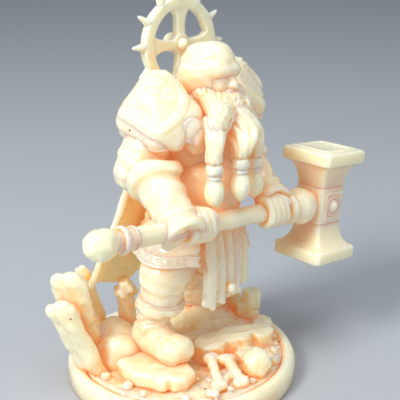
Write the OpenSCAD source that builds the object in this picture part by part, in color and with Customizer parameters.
// Dwarf hammer-bearer: a resin display miniature on a round scenic base.
// The figure faces -Y, up is +Z, and the origin is the centre of the base's underside.

/* [Base] */
// Diameter of the round base
base_d = 32; // [31:0.5:33]
// Height of the base rim
base_h = 3.2; // [3:0.1:3.5]
// Height of the ground inside the rim
ground_z = 2.9; // [2.8:0.05:3]

/* [Halo] */
// Outer radius of the spiked wheel
wheel_r = 6.1; // [5.9:0.1:6.4]
// Radial width of the wheel's rim
wheel_rim = 1.4; // [1.2:0.1:1.6]
// Thickness of the wheel
wheel_t = 1.3; // [1.2:0.1:1.4]
// Number of spikes round the wheel
spike_count = 12; // [8:4:16]
// Length of one spike
spike_l = 1.8; // [1.5:0.1:2]

/* [Hammer] */
// Diameter of the haft
haft_d = 2.6; // [2.4:0.1:2.8]
// Angle by which the haft dips towards the hammer head, in degrees
haft_tilt = 5.2; // [4.2:0.2:6.2]
// Length of the hammer head from face to face
hammer_l = 16; // [15.6:0.1:16.4]
// Width of the hammer's square faces
hammer_w = 8.3; // [8:0.1:8.6]
// Width of the faceted pommel
pommel_d = 3.8; // [3.6:0.1:4.1]

/* [Figure] */
// Radius of the belly
belly_r = 5.6; // [5.4:0.1:5.8]
// Thickness of the cape
cape_t = 0.8; // [0.7:0.05:1]
// Facets round an organic form
soft_fn = 14; // [12:2:16]

/* [Hidden] */

resin = [0.95, 0.88, 0.72];
base_r = base_d / 2;
rim_in = base_r - 1.9;
recess_z = 1.2;
haft_r = haft_d / 2;

// Joints of the body, from the base up
pelvis = [1.2, -0.8, 21.6];
belly_c = [0.6, -3.2, 27.4];
chest = [2, -0.9, 34];
neck = [2.9, -1.8, 38.4];
head_c = [2.3, -2.3, 42.1];
shoulder_r = [-5.2, -1.6, 36.6];
shoulder_l = [8.6, -1.2, 36.6];
elbow_r = [-8.5, -1.5, 30.9];
elbow_l = [9.8, -1.8, 31];
hip_r = [-1.8, -1.6, 20.4];
hip_l = [4.4, -0.4, 20.6];
knee_r = [-5, -2.6, 16.6];
knee_l = [4.8, 0.4, 16];
ankle_r = [-5.6, -0.8, 9.4];
ankle_l = [4.8, 4, 11.2];
// The wheel behind the head
wheel_c = [3.6, 4.2, 44.9];
// Point of the haft's axis where x is 0, and the places along it
haft_0 = [0, -9, 24.6];
grip_r = -5.6;
grip_l = 7.8;
collar_s = 10.4;
head_s = 17.9;
pommel_s = -19.2;

function haft_point(s) = haft_0 + s * [cos(haft_tilt), 0, -sin(haft_tilt)];
function mix(a, b, t) = a + (b - a) * t;

// ---- Building blocks ----

module ball(p, r, fn = soft_fn) translate(p) sphere(r, $fn = fn);

// A chain of rounded segments through points, each with its own radius
module limb(points, radii, fn = soft_fn)
    for (i = [0 : len(points) - 2])
        hull() {
            ball(points[i], radii[i], fn);
            ball(points[i + 1], radii[i + 1], fn);
        }

// One rounded form wrapped round all its points
module mass(points, radii, fn = soft_fn)
    hull()
        for (i = [0 : len(points) - 1])
            ball(points[i], radii[i], fn);

// An egg with three radii
module egg(p, size, turn = [0, 0, 0], fn = soft_fn)
    hull()
        translate(p) rotate(turn) scale(size) sphere(1, $fn = fn);

// Points the children's +Z from one place to another
module aim(from, to) {
    d = to - from;
    translate(from) rotate([0, acos(d.z / norm(d)), atan2(d.y, d.x)]) children();
}

// Puts the children on the haft's axis, with +Z towards the hammer head and +X downwards
module on_haft(s) translate(haft_point(s)) rotate([0, 90 + haft_tilt, 0]) children();

// A closed sheet: at(u, v, k) is its point for u and v from 0 to 1, on face k = 0 or 1
module sheet(at, nu, nv) {
    row = nu + 1;
    side = row * (nv + 1);
    pts = [for (k = [0, 1], v = [0 : nv], u = [0 : nu]) at(u / nu, v / nv, k)];
    front = [for (v = [0 : nv - 1], u = [0 : nu - 1])
        [v * row + u, v * row + u + 1, (v + 1) * row + u + 1, (v + 1) * row + u]];
    back = [for (f = front) [for (i = [3 : -1 : 0]) f[i] + side]];
    edge = concat(
        [for (u = [0 : nu - 1]) [u + 1, u]],
        [for (u = [0 : nu - 1]) [nv * row + u, nv * row + u + 1]],
        [for (v = [0 : nv - 1]) [v * row, (v + 1) * row]],
        [for (v = [0 : nv - 1]) [(v + 1) * row + nu, v * row + nu]]);
    rim = [for (e = edge) [e[0], e[1], e[1] + side, e[0] + side]];
    quads = concat(front, back, rim);
    polyhedron(pts, [for (q = quads, t = [0, 1]) t == 0 ? [q[0], q[1], q[2]] : [q[0], q[2], q[3]]]);
}

// A rough block of stone: a tilted prism whose top is smaller and turned
module stone(p, size, turn = [0, 0, 0], sides = 6, top = 0.75, twist = 14)
    translate(p) rotate(turn)
        hull() {
            scale([size.x, size.y, 1]) cylinder(r = 1, h = size.z * 0.8, $fn = sides);
            rotate(twist) scale([size.x * top, size.y * top, 1]) cylinder(r = 1, h = size.z, $fn = sides);
        }

// A standing shard from its foot to its tip, w wide and d deep
module shard(foot, tip, w, d, turn = 0, sides = 6)
    aim(foot, tip) rotate(turn)
        hull() {
            length = norm(tip - foot);
            scale([w * 0.8, d * 0.8, 1]) cylinder(r = 1, h = 0.5, $fn = sides);
            translate([0, 0, length * 0.62]) scale([w, d, 1]) cylinder(r = 1, h = 0.2, $fn = sides);
            translate([w * 0.12, 0, length * 0.9]) scale([w * 0.78, d * 0.7, 1]) cylinder(r = 1, h = 0.2, $fn = sides);
            translate([-w * 0.1, 0, length]) scale([w * 0.42, d * 0.36, 1]) cylinder(r = 1, h = 0.2, $fn = sides);
        }

// ---- Base and its rubble ----

module base_disc() color(resin)
    rotate_extrude($fn = 96)
        polygon(concat(
            [[0, 0], [base_r - 0.35, 0], [base_r, 0.35]],
            [for (a = [0 : 10 : 90]) [mix(rim_in + 0.5, base_r, cos(a)), mix(0.9, base_h, sin(a))]],
            [[rim_in, base_h - 0.25], [rim_in, recess_z], [0, recess_z]]));

// Soft humps of earth: place, radius and height above the flat ground
ground_humps = [
    [[5.6, 4.6], 7.6, 4.3], [[-2.4, 2.6], 5.4, 2], [[9.6, 7.4], 4, 2], [[4, 10], 4, 2.2], [[-3, 10.5], 3, 1.6],
    [[9.4, -1.4], 4, 1.6], [[-1, -10], 3.2, 0.6], [[2, -0.6], 5, 2.2],
];

module ground() color(resin)
    difference() {
        union() {
            translate([0, 0, recess_z]) cylinder(r = rim_in, h = ground_z - recess_z, $fn = 48);
            intersection() {
                translate([0, 0, recess_z]) cylinder(r = rim_in - 0.05, h = 8, $fn = 48);
                union() for (h = ground_humps) egg([h[0].x, h[0].y, ground_z - 0.3], [h[1], h[1], h[2] + 0.3], fn = 12);
            }
        }
        rocks();
        boots();
    }

// Everything that is bedded in the ground
module rocks() {
    raw_flagstones();
    raw_boot_slab();
    raw_boulder();
    raw_shards();
    raw_frilled_rock();
    raw_rear_rocks();
    raw_round_stone();
    raw_long_bones();
    raw_pebbles();
}

module boots() {
    raw_right_boot();
    raw_left_boot();
}

bed_z = 2.3;

module raw_flagstones() {
    stone([1.2, -4, bed_z], [2.7, 2.2, 2.8], [2, 0, 12], 5);
    stone([5.8, -4.8, bed_z], [2.8, 2.2, 3], [0, -3, -14], 6);
    stone([9.8, -6.4, bed_z], [1.9, 1.8, 2.4], [3, 4, 25], 5);
    stone([4.8, -8.4, bed_z], [1.9, 1.5, 1.7], [-4, 0, 40], 6);
}

module flagstones() color(resin) raw_flagstones();

module raw_boot_slab() hull() {
    slab_edge = [[-11.2, 0.6], [-11.4, -3.6], [-10, -7.2], [-7.2, -9.2], [-4.9, -8.4], [-3.7, -5], [-3.6, 0.4], [-7, 2.4]];
    for (p = slab_edge) {
        translate([p.x, p.y, bed_z]) cylinder(r = 0.35, h = 2.3, $fn = 6);
        translate([mix(-7, p.x, 0.9), mix(-3.6, p.y, 0.9), bed_z]) cylinder(r = 0.35, h = 2.75, $fn = 6);
    }
}

module boot_slab() color(resin) difference() {
    raw_boot_slab();
    raw_right_boot();
    raw_boulder();
    raw_long_bones();
}

module raw_boulder() mass([[-8.4, 3, 4], [-7, 6.2, 4.2], [-9.8, 5.2, 3.2], [-5.4, 5.8, 3.6]], [2.9, 2.9, 2.4, 2.2], 12);

module boulder() color(resin) difference() {
    raw_boulder();
    raw_shards();
    raw_right_boot();
    raw_frilled_rock();
    slab_under(bed_z);
}

module raw_shard_tall() shard([-10.4, 7.2, bed_z], [-14.8, 6, 17], 3, 1.9, 15);
module raw_shard_front() shard([-12.4, 3.4, bed_z], [-17.4, 4.4, 14.2], 2.6, 1.8, 40);
module raw_shard_slim() shard([-5.8, 9.6, bed_z], [-10.6, 9, 16], 1.5, 1.2, 20);

module raw_shards() {
    raw_shard_tall();
    raw_shard_front();
    raw_shard_slim();
}

module shard_tall() color(resin) raw_shard_tall();
module shard_front() color(resin) difference() {
    raw_shard_front();
    raw_shard_tall();
    rotate_extrude($fn = 64) translate([rim_in, 0]) square([2, base_h]);
}
module shard_slim() color(resin) difference() {
    raw_shard_slim();
    raw_shard_tall();
}

module raw_frilled_rock() {
    stone([-4.4, 6.6, bed_z], [1.5, 1.4, 7], [4, -4, 0], 7, 0.8);
    for (a = [0 : 60 : 300])
        hull() {
            ball([-5 + 0.9 * cos(a), 6.2 + 0.7 * sin(a), 11.6], 0.75, 8);
            ball([-4.9, 6.3, 8.6], 1.1, 8);
        }
    ball([-5, 6.2, 12.2], 1, 10);
}

module frilled_rock() color(resin) raw_frilled_rock();

module raw_rear_rocks() {
    stone([12, -4.2, bed_z], [1.9, 1.8, 2.6], [0, 0, 10], 6);
    stone([12.4, -0.8, bed_z], [2, 2.2, 4], [-3, 3, 30], 6);
    stone([11.9, 2.6, bed_z], [1.9, 1.9, 5.6], [0, 2, 5], 5);
    stone([12.6, -1.2, bed_z + 3.6], [1.5, 1.7, 2.7], [4, -5, 50], 5);
}

module rear_rocks() color(resin) difference() {
    raw_rear_rocks();
    raw_flagstones();
}

module raw_round_stone() egg([3.2, -11.4, 4.1], [2.2, 2, 2.1], [0, 0, 20], 14);

module round_stone() color(resin) difference() {
    raw_round_stone();
    raw_flagstones();
    raw_long_bones();
    slab_under(bed_z);
}

// A bone from a to b: a shaft with two knobs at each end
module bone(a, b, r) {
    limb([a, b], [r, r], 8);
    across = cross(b - a, [0, 0, 1]) / norm(cross(b - a, [0, 0, 1]));
    for (end = [a, b], side = [-1, 1])
        ball(end + side * across * r * 0.9, r * 1.25, 8);
}

module raw_long_bones() {
    bone([-0.6, -6.4, 4.4], [-3.9, -11.6, 3.4], 0.6);
    bone([1.2, -8, 4.2], [-0.9, -12.9, 3.3], 0.6);
    bone([0, -10.2, 3.2], [-5.8, -12.4, 3.3], 0.45);
}

module long_bones() color(resin) raw_long_bones();

// Loose pebbles: place and size
pebble_list = [
    [-12.2, -3.2, 1], [-11.8, -6, 0.8], [-8.6, -10.4, 0.9], [0.8, -13.1, 0.7], [6.6, -11.6, 1], [8.8, -9.6, 0.8],
    [11.9, -6.6, 0.7], [-12.8, 0.8, 0.9], [10.6, -8.2, 0.5], [-5.6, -12.9, 0.6],
];

module raw_pebbles()
    for (p = pebble_list)
        stone([p.x, p.y, bed_z], [p.z, p.z * 0.85, 0.5 + p.z], [4, -3, p.x * 40], 5, 0.7);

module pebbles() color(resin) difference() {
    raw_pebbles();
    raw_boot_slab();
    raw_boulder();
    raw_round_stone();
    raw_flagstones();
    raw_long_bones();
}

// ---- Legs ----

module raw_right_boot() {
    mass([ankle_r + [0, 0.4, 0], [-5.6, 0.9, 6.4]], [2.3, 2.1], 12);
    mass([[-5.6, 0.9, 6.4], [-5.4, -3, 6.3], [-5.4, -0.8, 8.4]], [1.9, 1.9, 2.1], 12);
    mass([[-5.4, -3, 6.5], [-4.8, -4.9, 6.5], [-5.7, -4.7, 6.4]], [2.1, 2, 1.9], 12);
    limb([[-5.3, -1.5, right_joint_z], ankle_r + [0, 0.4, 0]], [2.5, 2.3], 12);
}

module raw_left_boot() {
    mass([ankle_l, [4.8, 4.6, 8.4]], [2.1, 1.9], 12);
    mass([[4.8, 4.6, 8.4], [7, 2.8, 8.2], [5.6, 3.8, 9.8]], [1.8, 1.8, 1.9], 12);
    mass([[7, 2.8, 8.2], [8.4, 1.8, 8], [7.8, 1.4, 8]], [1.8, 1.7, 1.6], 12);
    limb([[4.8, 2.4, left_joint_z], ankle_l], [2.3, 2.1], 12);
}

// A soft roll of leather round the top of a boot
module roll(centre, ring_r, roll_r)
    translate(centre) rotate_extrude($fn = 36) {
        translate([ring_r, 0]) circle(roll_r, $fn = 24);
        translate([0, -roll_r * 0.8]) square([ring_r, roll_r * 1.6]);
    }

module raw_right_boot_cuff() roll([-5.3, -1.7, 12.2], 2.2, 0.95);
module raw_left_boot_cuff() roll([4.8, 2.2, 13.2], 2, 0.9);

module raw_right_thigh() {
    mass([hip_r, mix(hip_r, knee_r, 0.62), knee_r], [3.5, 3.8, 3.4]);
    limb([knee_r, [-5.3, -1.7, right_joint_z - 1]], [3.1, 2.6]);
}

module raw_left_thigh() {
    mass([hip_l, mix(hip_l, knee_l, 0.6), knee_l], [3.7, 3.6, 3]);
    limb([knee_l, [4.8, 2.2, left_joint_z - 1]], [2.9, 2.4]);
}

// The legs and the boots meet in a flat joint inside each cuff
right_joint_z = 12.2;
left_joint_z = 13.2;

module slab_over(z) translate([-20, -20, z]) cube([40, 40, 20]);
module slab_under(z) translate([-20, -20, z - 20]) cube([40, 40, 20]);

module right_boot() color(resin) difference() {
    raw_right_boot();
    raw_right_boot_cuff();
    slab_over(right_joint_z);
}

module left_boot() color(resin) difference() {
    raw_left_boot();
    raw_left_boot_cuff();
    slab_over(left_joint_z);
}

module right_boot_cuff() color(resin) raw_right_boot_cuff();
module left_boot_cuff() color(resin) raw_left_boot_cuff();

module right_thigh() color(resin) difference() {
    raw_right_thigh();
    raw_right_boot_cuff();
    slab_under(right_joint_z);
    raw_belt();
    raw_skirt();
    raw_skirt_trim();
    raw_torso();
    raw_tabard();
}

module left_thigh() color(resin) difference() {
    raw_left_thigh();
    raw_left_boot_cuff();
    slab_under(left_joint_z);
    raw_belt();
    raw_skirt();
    raw_skirt_trim();
    raw_torso();
    raw_right_thigh();
    raw_tabard();
}

// ---- Trunk ----

module raw_torso() {
    mass([pelvis, [1.2, -1, 24.4]], [5, 4.8]);
    mass([[1.4, -1, 26], chest + [-3, -0.6, 0], chest + [3, 0, 0]], [4.6, 4.2, 4.6]);
    mass([chest + [-3.4, -0.6, 1.6], chest + [3.4, 0, 1.6], neck], [3.2, 3.6, 3]);
}

module raw_belly() {
    egg(belly_c, [belly_r, belly_r * 0.9, belly_r * 0.92], fn = 18);
    egg(belly_c + [0.2, -0.5, -1.6], [belly_r * 0.86, belly_r * 0.84, belly_r * 0.62], fn = 14);
}

module raw_belt() {
    for (a = [0 : 20 : 340])
        hull()
            for (k = [a, a + 20])
                translate([pelvis.x + 5.2 * cos(k), pelvis.y - 0.2 + 4.9 * sin(k), 22.9])
                    cylinder(r = 0.35, h = 1.2, center = true, $fn = 6);
}

module torso() color(resin) difference() {
    raw_torso();
    raw_belly();
    raw_belt();
    raw_cape();
    raw_bracket();
}

module belly() color(resin) difference() {
    raw_belly();
    raw_belt();
    raw_tabard();
    raw_hands();
    raw_skirt();
    haft_bore();
    raw_braids();
}

module belt() color(resin) difference() {
    raw_belt();
    raw_tabard();
    raw_skirt();
}

// The coat's skirt hangs in a flared curve round the hips, open in front between these two angles
skirt_from = -54;
skirt_to = 240;
function skirt_ring(a, z) = let (flare = (23 - z) / 4.2, r = 5.62 + 1.2 * flare)
    [pelvis.x - 0.4 * flare + r * cos(a) * 1.05, pelvis.y - 0.2 + r * sin(a) * 0.93, z];
function skirt_at(u, v, k) = let (
    a = mix(skirt_from, skirt_to, u), drop = 0.8 + 0.9 * cos(a - 150),
    p = skirt_ring(a, mix(23.4, 18.9 + 0.35 * drop, v)), out = [cos(a), sin(a), 0.2])
    p + out * (k * 0.75 + 0.18 * sin(a * 9) * v);

module raw_skirt() sheet(function (u, v, k) skirt_at(1 - u, v, k), 30, 4);

module coat_skirt() color(resin) difference() {
    raw_skirt();
    raw_cape();
    raw_skirt_trim();
    raw_tabard();
}

module raw_skirt_trim()
    for (i = [0 : 23])
        hull()
            for (k = [i, i + 1])
                translate(mix(skirt_at(k / 24, 0.97, 0), skirt_at(k / 24, 0.97, 1), 0.5))
                    rotate([0, 0, mix(skirt_from, skirt_to, k / 24)]) cube([1.15, 0.2, 0.9], center = true);

module skirt_trim() color(resin) difference() {
    raw_skirt_trim();
    raw_cape();
    raw_tabard();
}

// Three hanging strips of pleated cloth, each with its ribs
module strip(x, w, top, bottom, y, ribs) {
    for (i = [0 : ribs - 1]) {
        cx = x - w / 2 + w * (i + 0.5) / ribs;
        hull() {
            ball([cx, y + 0.7, top], w / ribs * 0.42, 10);
            ball([cx, y - 0.1, mix(top, bottom, 0.5)], w / ribs * 0.56, 10);
            ball([mix(x, cx, 1.08), y, bottom + 0.5], w / ribs * 0.56, 10);
        }
    }
    hull() {
        translate([x, y + 0.9, top]) cube([w * 0.8, 0.7, 0.5], center = true);
        translate([x, y + 0.15, bottom + 0.5]) cube([w, 0.7, 0.5], center = true);
    }
    hull()
        for (side = [-1, 1])
            ball([x + side * w * 0.42, y, bottom + 0.35], 0.55, 8);
}

module raw_tabard_left() strip(-0.4, 3, 23.2, 12.7, -7.4, 3);
module raw_tabard_middle() strip(2.3, 2.3, 23.2, 13.4, -7.2, 2);
module raw_tabard_right() strip(4.5, 2, 23, 14.4, -6.9, 2);
module raw_tabard() {
    raw_tabard_left();
    raw_tabard_middle();
    raw_tabard_right();
}

module tabard_left() color(resin) difference() {
    raw_tabard_left();
    raw_hands();
}

module tabard_middle() color(resin) difference() {
    raw_tabard_middle();
    raw_tabard_left();
    raw_tabard_right();
    tabard_bead_shape();
}

module tabard_right() color(resin) difference() {
    raw_tabard_right();
    raw_tabard_left();
}

module tabard_bead_shape() translate([1.5, -8.3, 14.6]) sphere(0.7, $fn = 24);

module tabard_bead() color(resin) tabard_bead_shape();

// The cape hangs from the shoulders, swings to the right hip and flares at its hem
function cape_at(u, v, k) = let (
    half = mix(6.6, 10, v), drift = mix(0, -2.4, v * v),
    a = (u - 0.5) * 2, fold = 0.42 * sin(u * 900) * v,
    depth = mix(3.4, 7.6, v) - 2.9 * a * a * (1 - 0.35 * v) + fold)
    [mix(2.4, 1.6, v) + a * half + drift, depth + (k == 0 ? 0 : cape_t), mix(36.6, 12.6, v) - 0.7 * a * v + 0.9 * fold];

module raw_cape() sheet(function (u, v, k) cape_at(u, v, k), 24, 10);

module cape() color(resin) difference() {
    raw_cape();
    raw_bracket();
    raw_frilled_rock();
    raw_shard_slim();
}

// ---- Shoulders and arms ----

// Shoulder guard: a leaning dome that hangs to a point in front. side is -1 for the right and 1 for the left
guard_points = [
    [[-5.4, -2, 40.9], [-7.9, -0.3, 38.2], [-6.8, -4.4, 36.5], [-3.3, -5.4, 38.4], [-5.2, 1.2, 38.2], [-6, -5.4, 35.8]],
    [[8.9, 0.2, 41.2], [11, -0.4, 38.3], [9.4, -3.6, 36.6], [7.4, -3.6, 37.8], [9, 2, 37.6], [10.4, -2.8, 35.8]],
];
guard_radii = [[2.3, 1.9, 1.9, 1.7, 2.2, 1.4], [2.2, 1.9, 1.8, 1.7, 2, 1.4]];
module raw_guard(side) {
    i = side < 0 ? 0 : 1;
    mass(guard_points[i], guard_radii[i]);
}

// The lower plate, which peeps out below the dome
module raw_lame(side) {
    i = side < 0 ? 0 : 1;
    mass([for (p = [1, 2, 4]) guard_points[i][p] + [side * 0.35, -0.1, -1.5]], [for (p = [1, 2, 4]) guard_radii[i][p] * 0.98]);
}

module shoulder_guard(side) difference() {
    raw_guard(side);
    raw_torso();
    raw_sleeve(side);
    raw_cape();
    raw_hood();
    raw_braids();
    raw_beard();
}

module right_pauldron() color(resin) shoulder_guard(-1);
module left_pauldron() color(resin) shoulder_guard(1);

module shoulder_lame(side) difference() {
    raw_lame(side);
    raw_guard(side);
    raw_torso();
    raw_sleeve(side);
    raw_braids();
    raw_beard();
    raw_cape();
    raw_belly();
}

module right_pauldron_lame() color(resin) shoulder_lame(-1);
module left_pauldron_lame() color(resin) shoulder_lame(1);

module raw_chest_flap() limb([[-3.2, -5.4, 37.4], [-3.2, -6, 35.8], [-2.9, -5.8, 34.9]], [1.5, 1.8, 1.3], 12);

module chest_flap() color(resin) difference() {
    raw_chest_flap();
    raw_guard(-1);
    raw_lame(-1);
    raw_torso();
    raw_beard();
    raw_braids();
    raw_oval_clasp();
}

module raw_oval_clasp()
    for (a = [0 : 30 : 330])
        hull()
            for (k = [a, a + 30])
                ball([-4.3 + 0.9 * cos(k), -7.2 - 0.45 * cos(k), 36.3 + 1.3 * sin(k)], 0.5, 8);

module oval_clasp() color(resin) difference() {
    raw_oval_clasp();
    raw_braid_front();
    raw_guard(-1);
}

module raw_sleeve(side) {
    shoulder = side < 0 ? shoulder_r : shoulder_l;
    elbow = side < 0 ? elbow_r : elbow_l;
    limb([shoulder, mix(shoulder, elbow, 0.4), mix(shoulder, elbow, 0.75), elbow], side < 0 ? [2.8, 2.9, 2.8, 2.7] : [2.6, 2.5, 2.3, 2.2]);
}

module sleeve(side) difference() {
    raw_sleeve(side);
    raw_torso();
    raw_bracer(side);
    raw_cape();
}

module right_sleeve() color(resin) sleeve(-1);
module left_sleeve() color(resin) sleeve(1);

// Bracer: a flared cuff with a rolled rim at the elbow and a band at the wrist
module raw_bracer(side) {
    elbow = side < 0 ? [-7.9, -3.3, 30.8] : [9.3, -2.7, 30.4];
    wrist = side < 0 ? [-7.6, -10, 25.4] : [8.9, -8, 25.4];
    rim = side < 0 ? 3.5 : 2.7;
    slim = side < 0 ? 0.78 : 0.84;
    aim(elbow, wrist) {
        length = norm(wrist - elbow);
        hull() {
            translate([0, 0, -0.3]) cylinder(r = rim * 0.9, h = 0.1, $fn = 18);
            cylinder(r = rim, h = 0.8, $fn = 18);
            translate([0, 0, length * 0.3]) cylinder(r = rim * 0.86, h = 0.1, $fn = 18);
        }
        hull() {
            translate([0, 0, length * 0.3]) cylinder(r = rim * 0.84, h = 0.1, $fn = 18);
            translate([0, 0, length * 0.8]) cylinder(r = rim * slim * 0.92, h = 0.1, $fn = 18);
        }
        hull() {
            translate([0, 0, length * 0.76]) cylinder(r = rim * slim, h = 0.3, $fn = 18);
            translate([0, 0, length]) cylinder(r = rim * slim * 1.02, h = 0.7, $fn = 18);
        }
    }
}

module bracer(side) difference() {
    raw_bracer(side);
    haft_bore();
    collar_room();
    raw_belly();
    raw_torso();
}

module right_bracer() color(resin) bracer(-1);
module left_bracer() color(resin) bracer(1);

module haft_bore() on_haft(-16) cylinder(r = haft_r, h = 34, $fn = 32);

module collar_room() on_haft(collar_s) cylinder(r = 2.6, h = 4.4, $fn = 32);

// A fist round the haft: back of the hand, four fingers and the thumb
module raw_hand(side) {
    s = side < 0 ? grip_r : grip_l;
    wrist = side < 0 ? [-6.2, -8.4, 26.4] : [8.6, -8, 25.6];
    mass([wrist, haft_point(s) + [0, -0.3, 0.4], haft_point(s) + [0.6, 0.2, -0.6]], [1.7, 2.1, 1.9], 12);
    for (i = [0 : 3])
        limb([haft_point(s - 1.4 + i) + [0, -1.6, 0.9], haft_point(s - 1.4 + i) + [0, -1.9, -0.8],
            haft_point(s - 1.4 + i) + [0, -0.4, -1.8]], [0.68, 0.68, 0.6], 7);
    limb([haft_point(s + 1.1) + [0, 0, 1.9], haft_point(s + 2.2) + [0, -0.8, 1.5]], [0.9, 0.75], 8);
}

module raw_hands() {
    raw_hand(-1);
    raw_hand(1);
}

module hand(side) difference() {
    raw_hand(side);
    raw_bracer(side);
    haft_bore();
    collar_room();
}

module right_hand() color(resin) hand(-1);
module left_hand() color(resin) hand(1);

// ---- Hammer ----

haft_end = head_s - 0.6;

module haft() color(resin)
    on_haft(pommel_s + 1) cylinder(r = haft_r, h = haft_end - pommel_s - 1, $fn = 32);

// Two raised rings behind the pommel, bored for the haft
module haft_collars() color(resin) {
    on_haft(pommel_s + 2.2) rotate_extrude($fn = 32)
        polygon([[haft_r, 0], [haft_r + 0.3, 0], [haft_r + 0.42, 0.5], [haft_r + 0.25, 1], [haft_r, 1]]);
    on_haft(pommel_s + 4) rotate_extrude($fn = 32)
        polygon([[haft_r, 0], [haft_r + 0.15, 0.1], [haft_r + 0.2, 0.45], [haft_r, 0.6]]);
}

module pommel() color(resin) difference() {
    on_haft(pommel_s - 2.1) {
        hull() {
            cylinder(r = pommel_d * 0.34, h = 0.1, $fn = 8);
            translate([0, 0, 1.1]) cylinder(r = pommel_d * 0.52, h = 1.6, $fn = 8);
            translate([0, 0, 4.2]) cylinder(r = haft_r + 0.3, h = 0.1, $fn = 8);
        }
    }
    on_haft(pommel_s + 1) cylinder(r = haft_r, h = 4, $fn = 32);
}

// The bulged collar between the haft and the head
module hammer_collar() color(resin)
    on_haft(collar_s) rotate_extrude($fn = 32)
        polygon([[haft_r, 0], [1.7, 0], [1.9, 0.6], [1.75, 1.2], [2.2, 1.5], [2.55, 2.6], [2.5, 3.6], [2.2, 4.4],
            [haft_r, 4.4]]);

block_w = 4.9;
block_l = 5.6;
face_t = 2;

// Half width of the hammer head at distance x from its middle: waist, concave flare, then the face
function flare(x) = let (t = (x - block_l / 2) / (hammer_l / 2 - face_t - block_l / 2))
    2.35 + (hammer_w / 2 - 0.5 - 2.35) * (1 - sqrt(1 - pow(min(max(t, 0), 1), 2) * 0.9)) / 0.68;
head_steps = [for (i = [0 : 8]) mix(block_l / 2 - 0.3, hammer_l / 2 - face_t, i / 8)];
head_half = concat(
    [for (x = head_steps) [x, min(flare(x), hammer_w / 2 - 0.45)]],
    [[hammer_l / 2 - face_t, hammer_w / 2 - 0.3], [hammer_l / 2 - face_t + 0.35, hammer_w / 2],
    [hammer_l / 2 - 0.5, hammer_w / 2], [hammer_l / 2 - 0.25, hammer_w / 2 - 0.5], [hammer_l / 2, hammer_w / 2 - 0.7]]);

module head_outline(grow = 1)
    for (way = [-1, 1])
        polygon(concat(
            [for (p = head_half) [way * p.x, p.y * grow]],
            [for (i = [len(head_half) - 1 : -1 : 0]) [way * head_half[i].x, -head_half[i].y * grow]]));

// Square in section with cut corners, and bored for the socket block between its two ends
module hammer_head() color(resin)
    on_haft(head_s)
        difference() {
            intersection() {
                translate([0, 0, -6]) linear_extrude(12) head_outline();
                rotate([90, 0, 0]) translate([0, 0, -6]) linear_extrude(12) head_outline();
                rotate([45, 0, 0]) translate([0, 0, -6]) linear_extrude(12) head_outline(1.26);
                rotate([-45, 0, 0]) translate([0, 0, -6]) linear_extrude(12) head_outline(1.26);
            }
            for (way = [-1, 1])
                translate([way * (hammer_l / 2 + 0.65), 0, 0]) cube([2, hammer_w * 0.56, hammer_w * 0.56], center = true);
        }

module hammer_socket() color(resin)
    difference() {
        on_haft(head_s)
            intersection() {
                cube([block_l - 0.6, block_w, block_w], center = true);
                rotate([45, 0, 0]) cube([block_l, block_w * 1.3, block_w * 1.3], center = true);
            }
        on_haft(head_s - 4) cylinder(r = haft_r, h = haft_end - head_s + 4, $fn = 32);
        hammer_studs();
    }

// Round studs set in the front, back and outer end of the socket block
module hammer_studs() color(resin)
    on_haft(head_s)
        for (turn = [[90, 0, 0], [-90, 0, 0], [0, 0, 0]])
            rotate(turn) translate([0, 0, block_w / 2 - 0.3]) rotate_extrude($fn = 32)
                polygon([[0, 0], [1.5, 0], [1.5, 0.55], [1.2, 0.6], [1.1, 0.45], [0.85, 0.5], [0.7, 0.85], [0.35, 1], [0, 1.05]]);

// ---- Head and beard ----

module raw_hood() {
    mass([head_c + [0.6, -0.5, 1], head_c + [0.2, 0.8, 0.8]], [2.9, 2.9]);
    mass([head_c + [-0.9, 0.2, -0.4], head_c + [-0.4, 1.4, -0.6]], [2.9, 2.6]);
    mass([head_c + [1.4, 0.8, -0.6], head_c + [0.9, 1.2, -1.8]], [2.6, 2.5]);
    mass([head_c + [0, 0.6, 0.2], neck], [3, 2.7]);
}

module raw_face() {
    egg(head_c + [0.9, -1.5, -1.2], [2.5, 2, 2.4], [0, 0, 18]);
    limb([head_c + [-0.9, -2.7, 0.2], head_c + [0.9, -3.1, 0.5], head_c + [2.5, -2.4, 0.4]], [0.85, 0.8, 0.8], 10);
    limb([head_c + [1, -3.1, -0.1], head_c + [1.2, -3.7, -1.2]], [0.65, 0.9], 10);
    for (side = [-1, 1]) ball(head_c + [1 + side * 1.4, -2.7, -1.2], 0.9, 10);
}

module raw_moustache()
    for (side = [-1, 1])
        limb([head_c + [1.2 + side * 0.4, -3.4, -2.1], head_c + [1.2 + side * 1.4, -3.4, -2.6],
            head_c + [1.2 + side * 2.1, -3.2, -3.8], head_c + [1.2 + side * 2, -3.6, -4.9]], [0.8, 0.8, 0.65, 0.4], 10);

module raw_beard() {
    mass([head_c + [-1.7, -1.3, -2.5], head_c + [3.6, -1.2, -2.8], head_c + [0.6, -2.6, -3.4]], [1.6, 1.5, 1.7], 14);
    mass([head_c + [-1.7, -1.5, -3], head_c + [1.6, -2.8, -3.4], [-1.7, -7.1, 37]], [1.5, 1.8, 1.7], 14);
    mass([head_c + [1.4, -2.6, -3.2], head_c + [3.6, -1.4, -2.8], [3.4, -6.6, 37.4]], [1.7, 1.5, 1.5], 14);
}

module hood() color(resin) difference() {
    raw_hood();
    raw_torso();
    raw_face();
    raw_beard();
}

module face() color(resin) difference() {
    raw_face();
    raw_torso();
    raw_moustache();
    raw_beard();
}

module moustache() color(resin) raw_moustache();

module beard() color(resin) difference() {
    raw_beard();
    raw_moustache();
    raw_torso();
    raw_braids();
}

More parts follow.
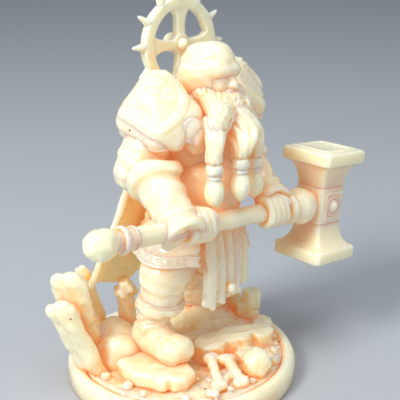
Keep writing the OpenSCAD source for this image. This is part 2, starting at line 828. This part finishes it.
// The three locks of the beard, from their roots to their clasps
lock_front = [[-1.6, -7.3, 37.6], [-2.6, -8.9, 35.6], [-2.9, -9.3, 34], [-3, -9.3, 33]];
lock_middle = [[2.5, -7.4, 38.2], [2.7, -8.9, 35.8], [1.6, -9.9, 34.1], [1.1, -10, 33.1]];
lock_rear = [[5.2, -6, 37.4], [5.8, -7.2, 35], [5.4, -8.2, 33.2], [5.2, -8.4, 32.2]];
lock_radii = [[1.9, 1.35, 1.1, 1], [1.4, 1.8, 1.4, 1], [1.2, 1.35, 1, 0.9]];
clasp_drop = 1.9;

module raw_braid_front() limb(lock_front, lock_radii[0], 12);
module raw_braid_middle() limb(lock_middle, lock_radii[1], 12);
module raw_braid_rear() limb(lock_rear, lock_radii[2], 12);
module raw_braids() {
    raw_braid_front();
    raw_braid_middle();
    raw_braid_rear();
    clasps();
    tips();
}

function lock_end(i) = let (l = [lock_front, lock_middle, lock_rear][i]) l[3] - [0, 0, 0.4];

module clasps()
    for (i = [0 : 2])
        translate(lock_end(i) - [0, 0, clasp_drop]) rotate_extrude($fn = 28)
            polygon([[0, 0], [0.85, 0], [0.95, 0.25], [0.82, 0.6], [1.02, 0.8], [1.08, 1.3], [1.02, clasp_drop - 0.1],
                [0.8, clasp_drop], [0, clasp_drop]]);

module tips()
    for (i = [0 : 2])
        translate(lock_end(i) - [0, 0, clasp_drop]) scale([1, 1, -1]) rotate_extrude($fn = 28)
            polygon([[0, 0], [0.8, 0], [1.05, 0.5], [1.28, 1.2], [1.3, 1.8], [1.15, 2.5], [0.8, 3.1], [0.35, 3.5], [0, 3.6]]);

module braid_front() color(resin) difference() {
    raw_braid_front();
    clasps();
}

module braid_middle() color(resin) difference() {
    raw_braid_middle();
    raw_braid_front();
    clasps();
}

module braid_rear() color(resin) difference() {
    raw_braid_rear();
    raw_braid_middle();
    raw_moustache();
    clasps();
}

module braid_clasps() color(resin) clasps();
module braid_tips() color(resin) tips();

// ---- Halo ----

module on_wheel() translate(wheel_c) rotate([90, 0, 0]) children();

axle_r = 0.75;

// Rim and four spokes that widen into it, bored for the axle
module halo_wheel() color(resin)
    on_wheel() translate([0, 0, -wheel_t / 2])
        difference() {
            linear_extrude(wheel_t) {
                difference() {
                    circle(wheel_r, $fn = 96);
                    circle(wheel_r - wheel_rim, $fn = 96);
                }
                for (a = [0 : 90 : 270])
                    rotate(a)
                        polygon(concat(
                            [for (i = [0 : 6]) [mix(0.4, wheel_r - wheel_rim + 0.2, i / 6), 0.62 + 0.75 * pow(abs(i / 6 * 2 - 0.9), 2.2)]],
                            [for (i = [6 : -1 : 0]) [mix(0.4, wheel_r - wheel_rim + 0.2, i / 6), -0.62 - 0.75 * pow(abs(i / 6 * 2 - 0.9), 2.2)]]));
            }
            translate([0, 0, -1]) cylinder(r = axle_r, h = wheel_t + 2, $fn = 32);
        }

module halo_spikes() color(resin)
    on_wheel()
        for (i = [0 : spike_count - 1])
            rotate(i * 360 / spike_count)
                difference() {
                    translate([wheel_r - 0.3, 0, 0]) rotate([0, 90, 0]) cylinder(r1 = wheel_t / 2, r2 = 0.16, h = spike_l + 0.3, $fn = 20);
                    cylinder(r = wheel_r, h = 4, center = true, $fn = 96);
                }

// The bracket behind the wheel's lower rim, which runs down into the back
bracket = [wheel_c + [0, 1.4, -5.3], [3.4, 5.5, 37.4], [2.9, 3, 34.6]];
module raw_bracket() limb(bracket, [0.75, 0.85, 1.1], 12);

// The hub pin through the wheel, domed in front, and the bracket
module halo_axle() color(resin) {
    on_wheel() rotate_extrude($fn = 32)
        polygon([[0, -2], [1.3, -2], [1.3, -wheel_t / 2], [axle_r, -wheel_t / 2], [axle_r, wheel_t / 2], [1.05, wheel_t / 2],
            [1, wheel_t / 2 + 0.35], [0.7, wheel_t / 2 + 0.75], [0, wheel_t / 2 + 0.95]]);
    raw_bracket();
}

base_disc();
ground();
flagstones();
boot_slab();
boulder();
shard_tall();
shard_front();
shard_slim();
frilled_rock();
rear_rocks();
round_stone();
long_bones();
pebbles();
torso();
belly();
belt();
tabard_left();
tabard_middle();
tabard_right();
tabard_bead();
coat_skirt();
skirt_trim();
cape();
right_thigh();
left_thigh();
right_boot();
left_boot();
right_boot_cuff();
left_boot_cuff();
right_pauldron();
right_pauldron_lame();
left_pauldron();
left_pauldron_lame();
chest_flap();
oval_clasp();
right_sleeve();
left_sleeve();
right_bracer();
left_bracer();
right_hand();
left_hand();
haft();
haft_collars();
pommel();
hammer_socket();
hammer_collar();
hammer_head();
hammer_studs();
hood();
face();
moustache();
beard();
braid_front();
braid_middle();
braid_rear();
braid_clasps();
braid_tips();
halo_wheel();
halo_spikes();
halo_axle();
